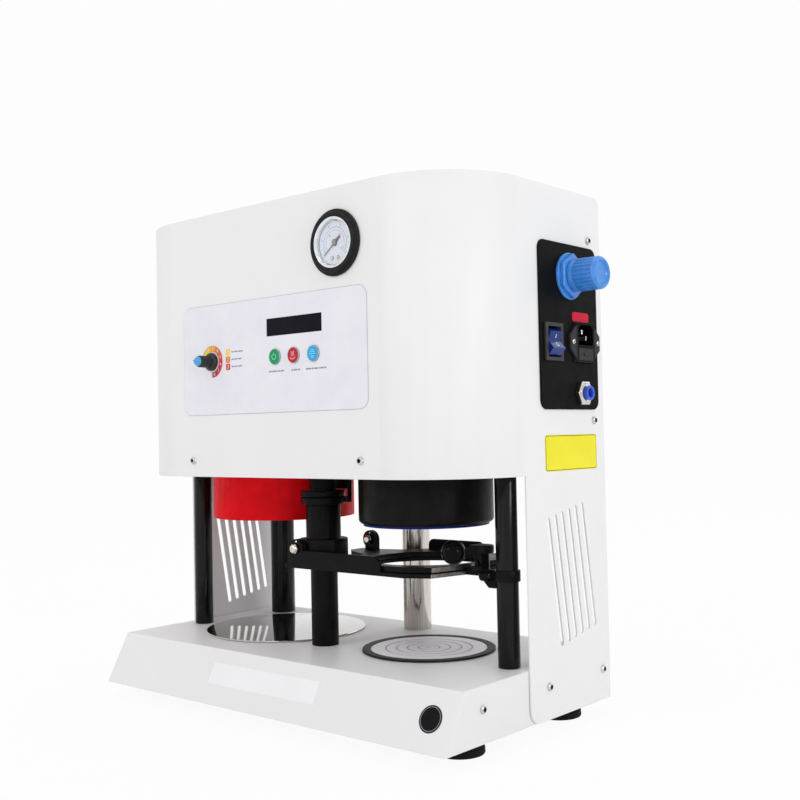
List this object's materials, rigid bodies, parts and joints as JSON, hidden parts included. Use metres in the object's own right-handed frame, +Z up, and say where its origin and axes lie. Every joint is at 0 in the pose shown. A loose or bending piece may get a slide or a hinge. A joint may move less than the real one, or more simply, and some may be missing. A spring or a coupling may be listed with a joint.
{
  "type": "dental vacuum former",
  "caption": "Table-top dental vacuum former with a swinging foil carrier, overhead heater drum and a descending pressure chamber.",
  "frame": {"origin": "on the supporting surface, under the centre of the machine's overall box", "axes": "+X to the side with the regulator and the mains inlet, -Y to the operator's side, +Z up"},
  "size_m": [0.4572, 0.2284, 0.4483],
  "materials": {
    "white_powder_coat": "fine textured powder coat",
    "black_painted_steel": "satin",
    "red_enamel": "gloss",
    "brushed_stainless": "brushed",
    "mirror_stainless": "polished",
    "zinc_plated_steel": "satin",
    "nickel": "bright",
    "machined_aluminium": "turned",
    "black_anodised_aluminium": "satin",
    "black_rubber": "matt",
    "blue_silicone": "satin",
    "black_plastic": "fine grain",
    "black_gloss_plastic": "polished",
    "regulator_blue": "moulded",
    "rocker_blue": "translucent",
    "fitting_blue": "moulded",
    "green_plastic": "moulded",
    "red_plastic": "moulded",
    "light_blue_plastic": "moulded",
    "label_film": "printed film",
    "display_glass": "dark",
    "dial_print": "printed",
    "clear_glass": "clear",
    "circuit_laminate": "solder mask",
    "ceramic_fibre": "fibrous",
    "heater_alloy": "oxidised"
  },
  "bodies": {
    "chassis": {"base_cover": "white_powder_coat", "base_plate": "zinc_plated_steel", "rubber_feet": "black_rubber", "outer_shell": "white_powder_coat", "top_cover": "white_powder_coat", "rear_panel": "white_powder_coat", "housing_floor": "white_powder_coat", "housing_screws": "nickel", "front_posts": "black_painted_steel", "rear_post": "black_painted_steel", "steel_riser_tube": "brushed_stainless", "pivot_column": "black_painted_steel", "reflector_disc": "mirror_stainless", "forming_plate": "machined_aluminium", "forming_gasket": "black_rubber", "vacuum_manifold": "machined_aluminium", "heater_housing": "red_enamel", "heater_insulation": "ceramic_fibre", "heater_element": "heater_alloy", "cylinder_bridge": "zinc_plated_steel", "air_cylinder": "machined_aluminium", "stop_collar": "black_painted_steel", "ball_catch": "zinc_plated_steel", "position_switch": "black_plastic", "control_label": "label_film", "display_module": "display_glass", "control_board": "circuit_laminate", "timer_potentiometer": "black_plastic", "gauge_ring": "black_rubber", "gauge_case": "nickel", "gauge_dial": "dial_print", "gauge_glass": "clear_glass", "side_panel": "black_painted_steel", "pressure_regulator": "machined_aluminium", "regulator_nut": "regulator_blue", "rocker_frame": "black_plastic", "mains_inlet": "black_plastic", "air_fitting": "nickel", "valve_block": "machined_aluminium"},
    "chamber": {"pressure_chamber": "black_anodised_aluminium", "chamber_seal": "blue_silicone", "piston_rod": "brushed_stainless"},
    "carrier_slide": {"carrier_bushing": "black_painted_steel"},
    "carrier": {"carrier_sleeve": "black_painted_steel", "trigger_cam": "black_painted_steel", "lower_frame": "black_painted_steel", "clamp_stud": "zinc_plated_steel"},
    "foil_clamp": {"clamp_ring": "black_painted_steel", "hinge_bolts": "zinc_plated_steel"},
    "clamp_handle": {"clamp_lever": "black_plastic", "ball_knob": "black_gloss_plastic"},
    "start_button": {"green_button": "green_plastic"},
    "stop_button": {"red_button": "red_plastic"},
    "option_button": {"blue_button": "light_blue_plastic"},
    "timer": {"timer_knob": "black_plastic"},
    "pointer": {"gauge_pointer": "black_gloss_plastic"},
    "pressure_knob": {"regulator_knob": "regulator_blue"},
    "mains_rocker": {"rocker_button": "rocker_blue"},
    "fuse_holder": {"fuse_drawer": "black_plastic"},
    "release_collar": {"fitting_collar": "fitting_blue"}
  },
  "joints": [
    {"name": "chamber_drop", "type": "slide", "parent": "chassis", "child": "chamber", "axis": [0, 0, -1], "range_m": [0, 0.0984]},
    {"name": "carrier_drop", "type": "slide", "parent": "chassis", "child": "carrier_slide", "axis": [0, 0, -1], "range_m": [0, 0.0689]},
    {"name": "carrier_swing", "type": "hinge", "parent": "carrier_slide", "child": "carrier", "pos_m": [-0.0204, -0.021, 0.1301], "axis": [0, 0, 1], "range_deg": [-224.3, 0]},
    {"name": "clamp_open", "type": "hinge", "parent": "carrier", "child": "foil_clamp", "pos_m": [-0.0274, 0.016, 0.1441], "axis": [0, 1, 0], "range_deg": [-8, 0]},
    {"name": "clamp_lock", "type": "hinge", "parent": "carrier", "child": "clamp_handle", "pos_m": [0.1406, 0.003, 0.1446], "axis": [0, 0, 1], "range_deg": [-75, 0]},
    {"name": "green_press", "type": "slide", "parent": "chassis", "child": "start_button", "axis": [0, 1, 0], "range_m": [0, 0.0015], "stiffness_N_per_m": 300, "springref_m": -0.001},
    {"name": "red_press", "type": "slide", "parent": "chassis", "child": "stop_button", "axis": [0, 1, 0], "range_m": [0, 0.0015], "stiffness_N_per_m": 300, "springref_m": -0.001},
    {"name": "blue_press", "type": "slide", "parent": "chassis", "child": "option_button", "axis": [0, 1, 0], "range_m": [0, 0.0015], "stiffness_N_per_m": 300, "springref_m": -0.001},
    {"name": "timer_turn", "type": "hinge", "parent": "chassis", "child": "timer", "pos_m": [-0.0899, -0.09, 0.3133], "axis": [0, 1, 0], "range_deg": [0, 270]},
    {"name": "gauge_needle", "type": "hinge", "parent": "chassis", "child": "pointer", "pos_m": [0.0681, -0.0902, 0.4016], "axis": [0, 1, 0], "range_deg": [0, 257], "stiffness_Nm_per_rad": 0.00005, "springref_deg": -11.46},
    {"name": "regulator_turn", "type": "hinge", "parent": "chassis", "child": "pressure_knob", "pos_m": [0.1951, 0.0594, 0.3742], "axis": [1, 0, 0], "range_deg": [-720, 720]},
    {"name": "mains_switch", "type": "hinge", "parent": "chassis", "child": "mains_rocker", "pos_m": [0.1931, 0.034, 0.318], "axis": [0, 1, 0], "range_deg": [0, 20]},
    {"name": "fuse_pull", "type": "slide", "parent": "chassis", "child": "fuse_holder", "axis": [1, 0, 0], "range_m": [0, 0.016]},
    {"name": "collar_press", "type": "slide", "parent": "chassis", "child": "release_collar", "axis": [-1, 0, 0], "range_m": [0, 0.0015], "stiffness_N_per_m": 300, "springref_m": -0.001}
  ],
  "couplings": [
    {"joint": "carrier_drop", "follows": "chamber_drop", "ratio": 0.69817}
  ]
}
